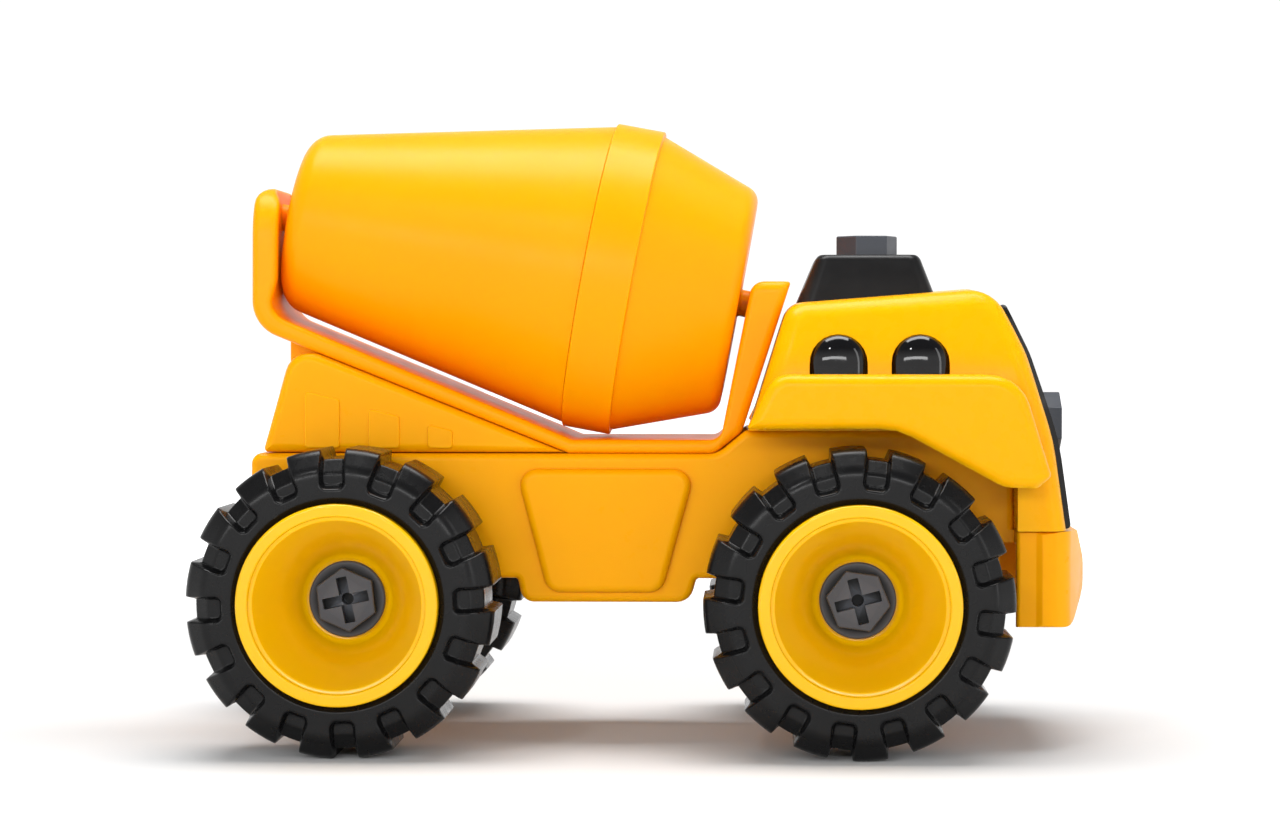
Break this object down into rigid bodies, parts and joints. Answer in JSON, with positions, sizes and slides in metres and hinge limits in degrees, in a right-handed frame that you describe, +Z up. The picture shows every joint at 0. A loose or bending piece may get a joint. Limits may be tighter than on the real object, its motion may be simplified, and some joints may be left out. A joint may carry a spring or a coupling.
{
  "type": "toy cement mixer",
  "caption": "Chunky take-apart toy truck with a tilted mixing drum that spins in a cradle and free-rolling lugged wheels held on by big plastic bolts.",
  "frame": {"origin": "on the ground, under the middle of the truck's length and width", "axes": "+X forwards along the truck, +Y to the truck's left, +Z up"},
  "size_m": [0.258, 0.147, 0.1835],
  "materials": {
    "cab_yellow": "satin moulded plastic, warm yellow",
    "fender_yellow": "satin moulded plastic, yellow",
    "drum_orange": "soft satin moulded plastic, orange-yellow",
    "rim_yellow": "glossy moulded plastic, lemon yellow",
    "gloss_black": "polished black plastic",
    "satin_black": "satin black plastic",
    "bolt_grey": "satin dark grey plastic",
    "tyre_black": "soft black plastic, satin"
  },
  "bodies": {
    "truck": {"chassis": "cab_yellow", "rear_pedestal": "cab_yellow", "cradle": "drum_orange", "cab_shell": "fender_yellow", "side_windows_left": "gloss_black", "side_windows_right": "gloss_black", "front_panel": "satin_black", "roof_light_box": "satin_black", "roof_bolt": "bolt_grey", "front_bolt": "bolt_grey", "deck_bolts": "bolt_grey", "wheel_bolt_rear_left": "bolt_grey", "wheel_bolt_rear_right": "bolt_grey", "wheel_bolt_front_left": "bolt_grey", "wheel_bolt_front_right": "bolt_grey"},
    "drum": {"drum_rear_shell": "drum_orange", "drum_front_shell": "drum_orange"},
    "wheel_rear_left": {"rim_rear_left": "rim_yellow", "tyre_rear_left": "tyre_black"},
    "wheel_rear_right": {"rim_rear_right": "rim_yellow", "tyre_rear_right": "tyre_black"},
    "wheel_front_left": {"rim_front_left": "rim_yellow", "tyre_front_left": "tyre_black"},
    "wheel_front_right": {"rim_front_right": "rim_yellow", "tyre_front_right": "tyre_black"}
  },
  "joints": [
    {"name": "drum_spin", "type": "hinge", "parent": "truck", "child": "drum", "pos_m": [-0.0104, 0, 0.13675], "axis": [0.9829, 0, -0.184], "continuous": true},
    {"name": "wheel_rear_left_spin", "type": "hinge", "parent": "truck", "child": "wheel_rear_left", "pos_m": [-0.085, 0.052, 0.044], "axis": [0, 1, 0], "continuous": true},
    {"name": "wheel_rear_right_spin", "type": "hinge", "parent": "truck", "child": "wheel_rear_right", "pos_m": [-0.085, -0.052, 0.044], "axis": [0, 1, 0], "continuous": true},
    {"name": "wheel_front_left_spin", "type": "hinge", "parent": "truck", "child": "wheel_front_left", "pos_m": [0.0615, 0.052, 0.044], "axis": [0, 1, 0], "continuous": true},
    {"name": "wheel_front_right_spin", "type": "hinge", "parent": "truck", "child": "wheel_front_right", "pos_m": [0.0615, -0.052, 0.044], "axis": [0, 1, 0], "continuous": true}
  ]
}
